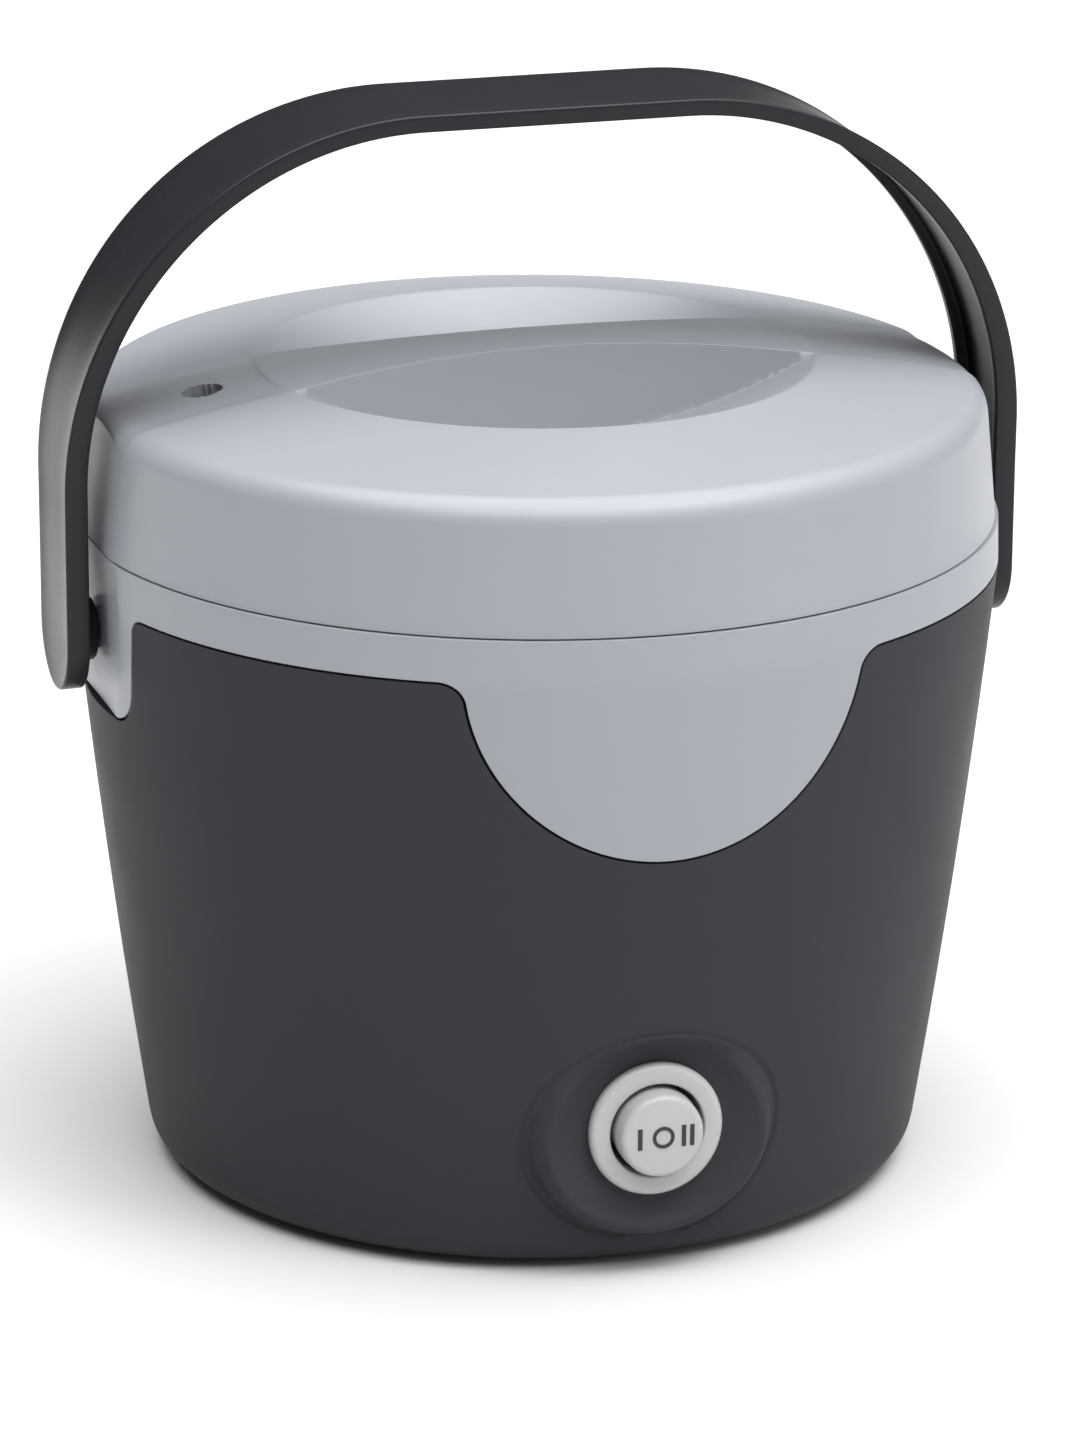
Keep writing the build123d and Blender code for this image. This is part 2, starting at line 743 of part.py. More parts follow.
low_tab = tab_place(-30)
high_tab = tab_place(-20)
return_tab = tab_place(20)
lead(
    "lead_inlet_to_fuse",
    [(-5, 43, 28), (-5, 36, 28), (-12, 27, 33), (-12, 22, 40), (-15, 22, 45.5), (-19.8, 22, 45.5)],
)
lead(
    "lead_fuse_to_switch",
    [
        (-36.2, 22, 45.5),
        (-41, 22, 45.5),
        (-44.5, 22, 40),
        (-42, 10, 28),
        (-28, -14, 21),
        (-10, -30, 25),
        (-6, -36, 28.8),
        (-6, -41, 28.8),
    ],
)
lead(
    "lead_switch_to_low",
    [
        (0, -41, 28.8),
        (0, -34, 28.8),
        (14, -26, 23),
        (36, -30, 25),
        (low_tab[0] - 4, low_tab[1] + 1, 36),
        (low_tab[0], low_tab[1], 43),
        (low_tab[0], low_tab[1], 49.9),
    ],
)
lead(
    "lead_switch_to_high",
    [
        (6, -41, 28.8),
        (6, -37, 28.8),
        (15, -33, 33),
        (38, -26, 35),
        (high_tab[0] - 5, high_tab[1] + 0.5, 37),
        (high_tab[0], high_tab[1], 43),
        (high_tab[0], high_tab[1], 49.9),
    ],
)
lead(
    "lead_return_to_thermostat",
    [
        (return_tab[0], return_tab[1], 49.9),
        (return_tab[0], return_tab[1], 43),
        (return_tab[0] - 6, return_tab[1], 36),
        (53, 24, 38),
        (49, 24, 40),
        (46, 24, 40),
    ],
)
lead("lead_thermostat_to_inlet", [(6, 24, 40), (2, 24, 40), (0, 28, 34), (5, 37, 28), (5, 43, 28)])

# ---------------------------------------------------------------- crock
with BuildPart() as crock:
    with BuildSketch(Plane.XZ) as crock_section:
        with BuildLine():
            Polyline(
                (0, crock_floor_height),
                (crock_bottom_radius, crock_floor_height),
                (crock_top_radius, crock_rim_low),
                (crock_rim_radius, crock_rim_low),
                (crock_rim_radius, crock_rim_high),
                (crock_top_radius - crock_wall, crock_rim_high),
                (crock_bottom_radius - crock_wall, crock_floor_height + 5),
                (0, crock_floor_height + 5),
                close=True,
            )
        make_face()
        floor_inside = crock_section.vertices().filter_by(
            lambda v: abs(v.Y - crock_floor_height - 5) < 0.01 and v.X > 1
        )
        fillet(floor_inside, 6)
        floor_outside = crock_section.vertices().filter_by(
            lambda v: abs(v.Y - crock_floor_height) < 0.01 and v.X > 1
        )
        fillet(floor_outside, 8)
        rim = crock_section.vertices().filter_by(lambda v: v.Y > crock_rim_high - 0.01)
        fillet(rim, 1.6)
    revolve(axis=Axis.Z)
finish(crock, "crock")

# ---------------------------------------------------------------- lid
scoops = finger_recesses(0)
scoop_skins = finger_recesses(lid_thickness)


def lid_solid(inset):
    """The lid's domed outside, moved inwards by an inset, as a solid down to its lower rim."""
    skirt = lid_skirt_radius - inset
    corner = lid_corner_radius - inset
    sphere = lid_crown_sphere - inset
    with BuildPart() as dome:
        with BuildSketch(Plane.XZ) as section:
            with BuildLine():
                crown = CenterArc(
                    (0, lid_crown_height - lid_crown_sphere),
                    sphere,
                    90 - degrees(asin(corner / sphere)),
                    degrees(asin(corner / sphere)),
                )
                Polyline(crown @ 1, (0, lid_low), (skirt, lid_low), crown @ 0)
            make_face()
            shoulder = section.vertices().filter_by(lambda v: v.X > corner - 1).sort_by(Axis.Y)[-1]
            fillet(shoulder, lid_shoulder_radius - inset)
        revolve(axis=Axis.Z)
        with BuildSketch(Plane.XZ):
            with BuildLine():
                Polyline(
                    (flat_seam[0] - inset, 120),
                    (flat_seam[0] - inset, flat_seam[1]),
                    (flat_lid_top[0] - inset, flat_lid_top[1]),
                    (100, flat_lid_top[1]),
                    (100, 120),
                    close=True,
                )
            make_face()
            mirror(about=Plane.YZ)
        extrude(amount=40, both=True, mode=Mode.SUBTRACT)
    return dome.part


lid_outside = lid_solid(0)
lid_inside = lid_solid(lid_thickness)

with BuildPart() as lid_hollow:
    add(lid_inside)
    add(scoop_skins, mode=Mode.SUBTRACT)
    with Locations((vent_place[0], vent_place[1], 129.4)):
        Cylinder(vent_radius + 1.6, 40, align=CENTRED_LOW, mode=Mode.SUBTRACT)
    with PolarLocations(78.2, 4, start_angle=45):
        with Locations((0, 0, 129.4)):
            Cylinder(3.2, 30, align=CENTRED_LOW, mode=Mode.SUBTRACT)

with BuildPart() as lid_shell:
    add(lid_outside)
    add(lid_hollow.part, mode=Mode.SUBTRACT)
    add(scoops, mode=Mode.SUBTRACT)
    with Locations((vent_place[0], vent_place[1], 120)):
        Cylinder(vent_radius, 50, align=CENTRED_LOW, mode=Mode.SUBTRACT)
    with PolarLocations(78.2, 4, start_angle=45):
        with Locations((0, 0, 125)):
            Cylinder(1.3, 14, align=CENTRED_LOW, mode=Mode.SUBTRACT)
finish(lid_shell, "lid_shell")

with BuildPart() as lid_liner:
    with BuildSketch(Plane.XZ) as liner_section:
        with BuildLine():
            Polyline(
                (0, 120.0),
                (58.0, 120.0),
                (58.0, 127.5),
                (82.4, 127.5),
                (82.4, 129.3),
                (56.2, 129.3),
                (56.2, 121.8),
                (0, 121.8),
                close=True,
            )
        make_face()
        fillet(liner_section.vertices().filter_by(lambda v: v.X > 57 and v.X < 59 and v.Y < 121), 2.5)
    revolve(axis=Axis.Z)
    with Locations((vent_place[0], vent_place[1], 125)):
        Cylinder(vent_radius, 10, align=CENTRED_LOW, mode=Mode.SUBTRACT)
    with PolarLocations(78.2, 4, start_angle=45):
        with Locations((0, 0, 125)):
            Cylinder(1.5, 10, align=CENTRED_LOW, mode=Mode.SUBTRACT)
finish(lid_liner, "lid_liner")

with BuildPart() as lid_gasket:
    with BuildSketch(Plane.XZ) as gasket_section:
        with Locations((70.6, 125.0)):
            Rectangle(4.4, 2.5, align=(Align.MIN, Align.MIN))
        fillet(gasket_section.vertices().group_by(Axis.Y)[0], 0.9)
    revolve(axis=Axis.Z)
finish(lid_gasket, "lid_gasket")

with BuildPart() as lid_screws:
    with PolarLocations(78.2, 4, start_angle=45):
        with Locations((0, 0, 126.1)):
            Cylinder(2.4, 1.4, align=CENTRED_LOW)
            Cylinder(1.25, 11, align=CENTRED_LOW)
finish(lid_screws, "lid_screws")

# ---------------------------------------------------------------- bail handle
with BuildPart() as bail_channel:
    extrude(bail_front(bail_web, 90), amount=20, both=True)
    extrude(bail_side(bail_flange), amount=110, both=True, mode=Mode.INTERSECT)

with BuildPart() as bail_handle:
    extrude(bail_front(0, 90), amount=20, both=True)
    extrude(bail_side(0), amount=110, both=True, mode=Mode.INTERSECT)
    add(bail_channel.part, mode=Mode.SUBTRACT)
    for side in (-1, 1):
        with BuildSketch(Plane.YZ.offset(side * 86.1)):
            with Locations((0, pivot_height)):
                Circle(6.0)
        extrude(amount=side * (bail_outer_x - bail_web - 86.1 + 0.5))
        with BuildSketch(Plane.YZ.offset(side * journal_end)):
            with Locations((0, pivot_height)):
                Circle(journal_radius)
        extrude(amount=side * (87 - journal_end))
        with BuildSketch(Plane.YZ.offset(side * journal_end)):
            with Locations((0, pivot_height)):
                Circle(1.55)
        extrude(amount=side * 10.5, mode=Mode.SUBTRACT)
finish(bail_handle, "bail_handle")

with BuildPart() as bail_washers:
    for side in (-1, 1):
        with BuildSketch(Plane.YZ.offset(side * journal_end)):
            with Locations((0, pivot_height)):
                Circle(6.0)
                Circle(1.6, mode=Mode.SUBTRACT)
        extrude(amount=-side * 1.0)
finish(bail_washers, "bail_washers")

with BuildPart() as bail_screws:
    for side in (-1, 1):
        with BuildSketch(Plane.YZ.offset(side * (journal_end - 1.0))):
            with Locations((0, pivot_height)):
                Circle(3.2)
        extrude(amount=-side * 2.2)
        with BuildSketch(Plane.YZ.offset(side * (journal_end - 1.5))):
            with Locations((0, pivot_height)):
                Circle(1.5)
        extrude(amount=side * 11.0)
finish(bail_screws, "bail_screws")
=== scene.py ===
import json
import math

import bmesh
import bpy
import numpy as np
from mathutils import Matrix, Vector


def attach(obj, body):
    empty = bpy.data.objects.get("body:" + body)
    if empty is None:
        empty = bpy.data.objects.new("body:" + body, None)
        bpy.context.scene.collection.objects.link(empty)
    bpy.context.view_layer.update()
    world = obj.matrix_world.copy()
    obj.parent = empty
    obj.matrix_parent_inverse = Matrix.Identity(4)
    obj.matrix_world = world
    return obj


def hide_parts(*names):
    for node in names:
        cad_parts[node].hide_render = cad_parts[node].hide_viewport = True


# The look of a lunch-size slow cooker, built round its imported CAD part. Shapes are worked out in
# millimetres in the part's own frame (+Z up, front with the switch towards -Y) and scaled to metres.

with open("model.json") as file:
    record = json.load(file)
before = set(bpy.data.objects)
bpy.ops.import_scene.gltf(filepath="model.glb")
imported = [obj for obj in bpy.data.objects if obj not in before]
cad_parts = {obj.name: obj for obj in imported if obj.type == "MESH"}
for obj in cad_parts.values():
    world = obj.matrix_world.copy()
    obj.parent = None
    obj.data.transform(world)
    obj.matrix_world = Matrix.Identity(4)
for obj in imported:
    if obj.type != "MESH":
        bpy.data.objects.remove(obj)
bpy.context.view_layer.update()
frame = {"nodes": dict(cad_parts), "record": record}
nodes = frame["nodes"]
MM = 0.001

# Collar outline, barrel wall and side flats
SEAM = 126.3
COLLAR_LOW = 118.3
SHIELD_R, SHIELD_Z, SHIELD_FILLET = 37.6, 120.7, 5.0
EAR_TOP, EAR_BOTTOM, EAR_LOW, EAR_CORNER, EAR_FILLET = 24.6, 19.3, 95.7, 9.0, 4.0
COLLAR_GAP = 0.5
COLLAR_START, SEAM_RADIUS = 118.0, 87.7

# Switch pad and inlet pocket
PAD_X, PAD_HALF_Z, PAD_Z, PAD_FRONT = 23.6, 20.1, 27.5, 77.6
PAD_LIP, PAD_LIP_AT, PAD_LIP_WIDTH = 0.45, 0.88, 0.05
PAD_GROOVE, PAD_GROOVE_AT, PAD_GROOVE_WIDTH = 0.4, 1.035, 0.022
SWITCH_Z, SEAT_DEPTH, SEAT_RADIUS, SEAT_SLOPE = 28.8, 1.8, 13.6, 6.2
INLET_Z, INLET_SEAT, INLET_HALF_X, INLET_HALF_Z, INLET_CORNER = 28.0, 71.4, 21.0, 13.0, 4.0

# Lid
CROWN, SPHERE = 159.2, 406.0
BOWL, BOWL_CENTRE = 105.0, 246.6
LID_LOW, SKIRT, CORNER, SHOULDER = 126.6, 87.1, 84.9, 5.6
VENT_X, VENT_R = -64.5, 3.9

# Carry handle
PIVOT = 109.5
ARM_OUT, ARM_IN, BEND_X = 93.3, 89.0, 25.3
BEND_OUT, BEND_IN, TOP_OUT, TOP_IN = 68.0, 63.7, 206.0, 202.8
ARM_HALF, TOP_HALF = 11.15, 14.8
WIDEN_FROM, WIDEN_OVER = 128.0, 76.0
DISH, EDGE_ROUND, LIP_ROUND = 0.45, 0.5, 0.4
FLANGE, WEB_DEPTH, INNER_ROUND = 2.3, 1.9, 0.5

# Mesh shading and bevels
SHARP_ANGLE, BEVEL_ANGLE = math.radians(48), math.radians(62)


def wall_radius(z):
    return 73.34 + 0.1535 * z - 0.000254 * z * z


def collar_radius(z):
    """The wall up to the collar, then the collar's slightly tapering band."""
    low = wall_radius(COLLAR_START)
    band = low + (SEAM_RADIUS - low) * (z - COLLAR_START) / (SEAM - COLLAR_START)
    return np.where(z < COLLAR_START, wall_radius(z), band)


def flat_x(z):
    """How far out the flats beside the handle's arms stand."""
    return np.where(z < SEAM, 84.6 + 1.4 * (z - 94.0) / 32.3, 86.0 - 3.0 * (z - SEAM) / 28.5)


def smooth_min(a, b, k):
    h = np.clip(0.5 + 0.5 * (b - a) / k, 0, 1)
    return b * (1 - h) + a * h - k * h * (1 - h)


def smooth_max(a, b, k):
    return -smooth_min(-a, -b, k)


def smoothstep(t):
    t = np.clip(t, 0, 1)
    return t * t * (3 - 2 * t)


def arc_points(cx, cy, r, start, end, step):
    count = max(3, int(abs(math.radians(end - start)) * r / step) + 1)
    angles = np.radians(np.linspace(start, end, count))
    return np.column_stack([cx + r * np.cos(angles), cy + r * np.sin(angles)])


# ---------------------------------------------------------------- mesh building
def grid_faces(rows, cols, wrap=False, flip=False):
    i, j = np.meshgrid(np.arange(rows - 1), np.arange(cols if wrap else cols - 1), indexing="ij")
    k = (j + 1) % cols
    below, above = i * cols, (i + 1) * cols
    quads = np.stack([below + j, below + k, above + k, above + j], axis=-1).reshape(-1, 4)
    return quads[:, ::-1] if flip else quads


def lathe(profile, origin, axis, steps=96):
    """A closed profile of (radius, distance along the axis) turned about a line through origin."""
    profile = np.array(profile, float)
    axis = Vector(axis)
    side = axis.orthogonal().normalized()
    other = axis.cross(side)
    angles = np.linspace(0, 2 * math.pi, steps, endpoint=False)
    round_ = np.outer(np.cos(angles), side) + np.outer(np.sin(angles), other)
    points = profile[:, 0, None, None] * round_[None] + profile[:, 1, None, None] * np.array(axis)
    return points.reshape(-1, 3) + np.array(origin), grid_faces(len(profile), steps, wrap=True)


def piece(name, blocks, material, body, stands_for=(), thickness=0.0, edge=0.0, closed=False):
    """A shown mesh made of (points, faces) blocks, riding on a body and standing for CAD nodes."""
    faces, start = [], 0
    for points, quads in blocks:
        faces += (np.asarray(quads) + start).tolist()
        start += len(points)
    mesh = bpy.data.meshes.new(name)
    mesh.from_pydata((np.vstack([points for points, _ in blocks]) * MM).tolist(), [], faces)
    shape = bmesh.new()
    shape.from_mesh(mesh)
    bmesh.ops.remove_doubles(shape, verts=shape.verts, dist=2e-6)
    bmesh.ops.dissolve_degenerate(shape, dist=1e-6, edges=shape.edges)
    if closed:
        bmesh.ops.recalc_face_normals(shape, faces=shape.faces)
    for face in shape.faces:
        face.smooth = True
    for rim in shape.edges:
        rim.smooth = len(rim.link_faces) != 2 or rim.calc_face_angle(0.0) < SHARP_ANGLE
    shape.to_mesh(mesh)
    shape.free()
    obj = bpy.data.objects.new(name, mesh)
    bpy.context.scene.collection.objects.link(obj)
    mesh.materials.append(material)
    if thickness:
        solid = obj.modifiers.new("wall", "SOLIDIFY")
        solid.thickness = thickness * MM
        solid.offset = -1
    if edge:
        bevel = obj.modifiers.new("edge", "BEVEL")
        bevel.width = edge * MM
        bevel.segments = 3
        bevel.limit_method = "ANGLE"
        bevel.angle_limit = BEVEL_ANGLE
        bevel.harden_normals = False
        obj.modifiers.new("shade", "WEIGHTED_NORMAL").keep_sharp = True
    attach(obj, body)
    if stands_for:
        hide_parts(*stands_for)
    return obj


# ---------------------------------------------------------------- materials
def moulded(name, colour, rough, grain=0.05, grain_size=0.35, mottle=0.05, specks=0.0, metallic=0.0, coat=0.0,
            specular=0.5):
    """Moulded or finished stock: fine surface grain, uneven roughness and slight colour mottling."""
    material = bpy.data.materials.new(name)
    material.use_nodes = True
    tree = material.node_tree
    tree.nodes.clear()

    def node(kind, **settings):
        made = tree.nodes.new(kind)
        for key, value in settings.items():
            setattr(made, key, value)
        return made

    shader = node("ShaderNodeBsdfPrincipled")
    shader.inputs["Metallic"].default_value = metallic
    shader.inputs["Coat Weight"].default_value = coat
    shader.inputs["Coat Roughness"].default_value = 0.25
    shader.inputs["Specular IOR Level"].default_value = specular
    out = node("ShaderNodeOutputMaterial")
    tree.links.new(shader.outputs[0], out.inputs["Surface"])
    place = node("ShaderNodeTexCoord").outputs["Object"]

    cloud = node("ShaderNodeTexNoise")
    cloud.inputs["Scale"].default_value = 28.0
    cloud.inputs["Detail"].default_value = 4.0
    fine = node("ShaderNodeTexNoise")
    fine.inputs["Scale"].default_value = 1000.0 / grain_size * 0.5
    fine.inputs["Detail"].default_value = 2.0
    for texture in (cloud, fine):
        tree.links.new(place, texture.inputs["Vector"])

    tint = node("ShaderNodeMixRGB", blend_type="MIX")
    tint.inputs["Color1"].default_value = [c * (1 - mottle) for c in colour] + [1]
    tint.inputs["Color2"].default_value = [min(1, c * (1 + mottle)) for c in colour] + [1]
    blend = node("ShaderNodeMath", operation="MULTIPLY_ADD")
    blend.inputs[1].default_value = 0.45
    tree.links.new(fine.outputs[0], blend.inputs[0])
    half = node("ShaderNodeMath", operation="MULTIPLY")
    half.inputs[1].default_value = 0.55
    tree.links.new(cloud.outputs[0], half.inputs[0])
    tree.links.new(half.outputs[0], blend.inputs[2])
    tree.links.new(blend.outputs[0], tint.inputs["Fac"])
    colour_out = tint.outputs[0]
    if specks:
        speck = node("ShaderNodeTexVoronoi")
        speck.inputs["Scale"].default_value = 420.0
        tree.links.new(place, speck.inputs["Vector"])
        near = node("ShaderNodeMapRange")
        near.inputs["From Min"].default_value = 0.045
        near.inputs["From Max"].default_value = 0.02
        near.inputs["To Max"].default_value = specks
        tree.links.new(speck.outputs["Distance"], near.inputs["Value"])
        dust = node("ShaderNodeMixRGB", blend_type="MIX")
        dust.inputs["Color2"].default_value = [min(1, c * 2.2 + 0.02) for c in colour] + [1]
        tree.links.new(near.outputs[0], dust.inputs["Fac"])
        tree.links.new(colour_out, dust.inputs["Color1"])
        colour_out = dust.outputs[0]
    tree.links.new(colour_out, shader.inputs["Base Color"])

    wear = node("ShaderNodeMapRange")
    wear.inputs["From Min"].default_value = 0.3
    wear.inputs["From Max"].default_value = 0.7
    wear.inputs["To Min"].default_value = max(0.02, rough - 0.05)
    wear.inputs["To Max"].default_value = min(1.0, rough + 0.06)
    tree.links.new(cloud.outputs[0], wear.inputs["Value"])
    tree.links.new(wear.outputs[0], shader.inputs["Roughness"])

    bump = node("ShaderNodeBump")
    bump.inputs["Strength"].default_value = 1.0
    bump.inputs["Distance"].default_value = grain * MM
    tree.links.new(fine.outputs[0], bump.inputs["Height"])
    tree.links.new(bump.outputs[0], shader.inputs["Normal"])
    return material


MATERIALS = {
    "charcoal_shell": moulded("charcoal_shell", (0.038, 0.040, 0.045), 0.50,
                              grain=0.024, mottle=0.08, specks=0.25, specular=0.08),
    "charcoal_handle": moulded("charcoal_handle", (0.013, 0.015, 0.018), 0.30,
                               grain=0.010, mottle=0.08, specks=0.35, specular=0.25),
    "light_grey": moulded("light_grey", (0.312, 0.328, 0.360), 0.35, grain=0.004, mottle=0.012),
    "silver_plastic": moulded("silver_plastic", (0.44, 0.44, 0.44), 0.30, grain=0.003, mottle=0.012),
    "dark_print": moulded("dark_print", (0.02, 0.02, 0.022), 0.5, grain=0.004),
    "black_plastic": moulded("black_plastic", (0.018, 0.018, 0.02), 0.45, grain=0.02),
    "liner_plastic": moulded("liner_plastic", (0.24, 0.25, 0.27), 0.45, grain=0.01),
    "rubber": moulded("rubber", (0.018, 0.018, 0.018), 0.75, grain=0.03),
    "silicone": moulded("silicone", (0.50, 0.50, 0.49), 0.55, grain=0.01),
    "steel": moulded("steel", (0.55, 0.55, 0.55), 0.32, grain=0.01, metallic=1.0),
    "well_aluminium": moulded("well_aluminium", (0.75, 0.75, 0.76), 0.35, grain=0.01, metallic=1.0),
    "mica_band": moulded("mica_band", (0.42, 0.36, 0.28), 0.55, grain=0.02, mottle=0.2),
    "glass_wrap": moulded("glass_wrap", (0.72, 0.70, 0.64), 0.85, grain=0.15, grain_size=0.8, mottle=0.12),
    "brass": moulded("brass", (0.72, 0.56, 0.26), 0.3, grain=0.01, metallic=1.0),
    "lead_black": moulded("lead_black", (0.02, 0.02, 0.02), 0.5, grain=0.02),
    "lead_red": moulded("lead_red", (0.42, 0.03, 0.025), 0.5, grain=0.02),
    "lead_white": moulded("lead_white", (0.70, 0.70, 0.68), 0.5, grain=0.02),
    "crock_glaze": moulded("crock_glaze", (0.016, 0.016, 0.017), 0.14, grain=0.03, grain_size=1.5, coat=0.6),
}
for part in frame["record"]["subparts"]:
    mesh = nodes[part["node"]].data
    mesh.materials.clear()
    mesh.materials.append(MATERIALS[part["material_slot"]])


# ---------------------------------------------------------------- seam between body and collar
def shield_line(grow, step):
    """The shield's edge from its lowest point out to the collar's lower line, as (x, z)."""
    radius, low, corner = SHIELD_R + grow, COLLAR_LOW - grow, SHIELD_FILLET - grow
    drop = SHIELD_Z - (low - corner)
    reach = math.sqrt((radius + corner) ** 2 - drop**2)
    turn = math.degrees(math.atan2(-drop, reach))
    disc = arc_points(0, SHIELD_Z, radius, -90, turn, step)
    neck = arc_points(reach, low - corner, corner, turn + 180, 90, step)
    return np.vstack([disc, neck[1:]])


def ear_line(grow, step):
    """Half an ear's edge from its lowest point to the collar's lower line, as (distance across, z)."""
    foot, low = EAR_LOW - grow, COLLAR_LOW - grow
    corner, fillet = EAR_CORNER + grow, EAR_FILLET - grow
    side = np.array([EAR_TOP - EAR_BOTTOM, COLLAR_LOW - foot])
    side /= np.linalg.norm(side)
    turn = math.degrees(math.atan2(side[1], side[0]))
    back = math.tan(math.radians(turn / 2))
    start = np.array([EAR_BOTTOM + grow, foot])
    top = start + side * (low - foot) / side[1]
    flat = np.linspace(0, start[0] - corner * back, 12)
    bottom = np.column_stack([flat, np.full(12, foot)])
    bend = arc_points(start[0] - corner * back, foot + corner, corner, -90, turn - 90, step)
    rise = np.linspace(start + side * corner * back, top - side * fillet * back, 18)
    neck = arc_points(top[0] + fillet * back, low - fillet, fillet, turn + 90, 90, step)
    return np.vstack([bottom, bend[1:], rise[1:], neck[1:]])


def seam_columns(grow):
    """Angles round the body from the front (0) by the right (90), each with the seam's height there."""
    low = COLLAR_LOW - grow
    shield = shield_line(grow, 0.45)
    shield_angle = np.degrees(np.arcsin(shield[:, 0] / collar_radius(shield[:, 1])))
    ear = ear_line(grow, 0.6)
    ear_angle = np.degrees(np.arcsin(ear[:, 0] / collar_radius(ear[:, 1])))
    first = np.arange(shield_angle[-1] + 1, 90 - ear_angle[-1] - 0.5, 1.0)
    second = np.arange(90 + ear_angle[-1] + 1, 162, 1.0)
    third = np.arange(162, 180.01, 0.3)
    angles = np.concatenate([shield_angle, first, 90 - ear_angle[::-1], 90 + ear_angle[1:], second, third])
    plain_front = np.full(len(first), low)
    plain_back = np.full(len(second) + len(third), low)
    heights = np.concatenate([shield[:, 1], plain_front, ear[::-1, 1], ear[1:, 1], plain_back])
    angles[-1] = 180.0
    all_angles = np.concatenate([angles, 360 - angles[-2:0:-1]])
    return all_angles, np.concatenate([heights, heights[-2:0:-1]])


# ---------------------------------------------------------------- outer body
def rounded_box_distance(x, z, half_x, half_z, corner):
    dx, dz = np.abs(x) - half_x + corner, np.abs(z) - half_z + corner
    outside = np.hypot(np.maximum(dx, 0), np.maximum(dz, 0))
    return outside + np.minimum(np.maximum(dx, dz), 0) - corner


def body_block():
    angles, tops = seam_columns(COLLAR_GAP)
    slope = math.degrees(math.atan(0.147))
    foot = arc_points(67.44, 8.0, 7.0, -90, -slope, 0.7)
    low = np.vstack([[[67.0, 1.0]], foot])
    heights = np.concatenate([np.arange(7.4, 50, 0.42), np.arange(50, 80, 2.0)])
    upper = np.linspace(0, 1, 15)
    cols = len(angles)
    z = np.vstack([
        np.tile(low[:, 1, None], cols),
        np.tile(heights[:, None], cols),
        80 + upper[:, None] * (tops[None] - 80),
    ])
    r = wall_radius(z)
    r[: len(low)] = low[:, 0, None]
    turn = np.radians(angles)[None]
    x, y = r * np.sin(turn), -r * np.cos(turn)
    walled = np.arange(len(z))[:, None] >= len(low)

    front = (y < 0) & walled
    oval = np.hypot(x / PAD_X, (z - PAD_Z) / PAD_HALF_Z)
    snap = front & (np.abs(oval - 1) * 21 < 0.21)
    x = np.where(snap, x / oval, x)
    z = np.where(snap, PAD_Z + (z - PAD_Z) / oval, z)
    y = np.where(snap, -np.sqrt(wall_radius(z) ** 2 - x**2), y)
    oval = np.hypot(x / PAD_X, (z - PAD_Z) / PAD_HALF_Z)
    around = np.arctan2((z - PAD_Z) / PAD_HALF_Z, x / PAD_X)
    inner = 0.80 - 0.09 * np.sin(around)
    blend = 1 - np.clip((oval - inner) / (1 - inner), 0, 1) ** 3.2
    pad = y * (1 - blend) - PAD_FRONT * blend
    rho = np.hypot(x, z - SWITCH_Z)
    pad = pad + SEAT_DEPTH * (1 - smoothstep((rho - SEAT_RADIUS) / SEAT_SLOPE)) * smoothstep((1 - oval) * 8)
    lip = np.exp(-(((oval - PAD_LIP_AT) / PAD_LIP_WIDTH) ** 2))
    pad = pad - PAD_LIP * lip * smoothstep((1 - np.sin(around)) * 1.2)
    y = np.where(front & (oval < 1), pad, y)
    groove = np.exp(-(((oval - PAD_GROOVE_AT) / PAD_GROOVE_WIDTH) ** 2)) * (oval >= 1)
    y = np.where(front, y + PAD_GROOVE * groove, y)

    back = (y > 0) & walled
    gap = rounded_box_distance(x, z - INLET_Z, INLET_HALF_X, INLET_HALF_Z, INLET_CORNER)
    sunk = smoothstep((-gap + 0.1) / 0.7)
    y = np.where(back & (gap < 0.1), y * (1 - sunk) + INLET_SEAT * sunk, y)

    points = np.stack([x, y, z], axis=-1).reshape(-1, 3)
    faces = grid_faces(len(z), cols, wrap=True)
    centre = points[faces].mean(axis=1)
    hidden = (centre[:, 1] < 0) & (np.hypot(centre[:, 0], centre[:, 2] - SWITCH_Z) < 11.0)
    socket = (np.abs(centre[:, 0]) < 12.6) & (np.abs(centre[:, 2] - INLET_Z) < 9.2) & (centre[:, 1] > 0)
    return points, faces[~(hidden | socket)]


piece("outer_body_moulding", [body_block()], MATERIALS["charcoal_shell"], "base",
      ["outer_body"], thickness=2.4, edge=0.6)


# ---------------------------------------------------------------- collar
def collar_block():
    angles, lows = seam_columns(0.0)
    rise = np.linspace(0, 1, 22)
    z = lows[None] + rise[:, None] * (SEAM - lows[None])
    r = collar_radius(z)
    turn = np.radians(angles)[None]
    x, y = r * np.sin(turn), -r * np.cos(turn)
    x = np.sign(x) * smooth_min(np.abs(x), flat_x(z), 0.12)
    return np.stack([x, y, z], axis=-1).reshape(-1, 3), grid_faces(len(z), len(angles), wrap=True)


ledge = lathe([(77.5, 116.0), (84.5, 116.0), (84.5, 118.2), (77.5, 118.2), (77.5, 116.0)],
              (0, 0, 0), (0, 0, 1), 180)
piece("collar_moulding", [collar_block()], MATERIALS["light_grey"], "base", ["collar"],
      thickness=3.4, edge=0.6)
piece("collar_ledge", [ledge], MATERIALS["light_grey"], "base", closed=True)


# ---------------------------------------------------------------- lid
def dome(r):
    return CROWN - SPHERE + np.sqrt(SPHERE**2 - r**2)


def bridge_half(x):
    return 7.5 + 6.7 * (x / 51.0) ** 2


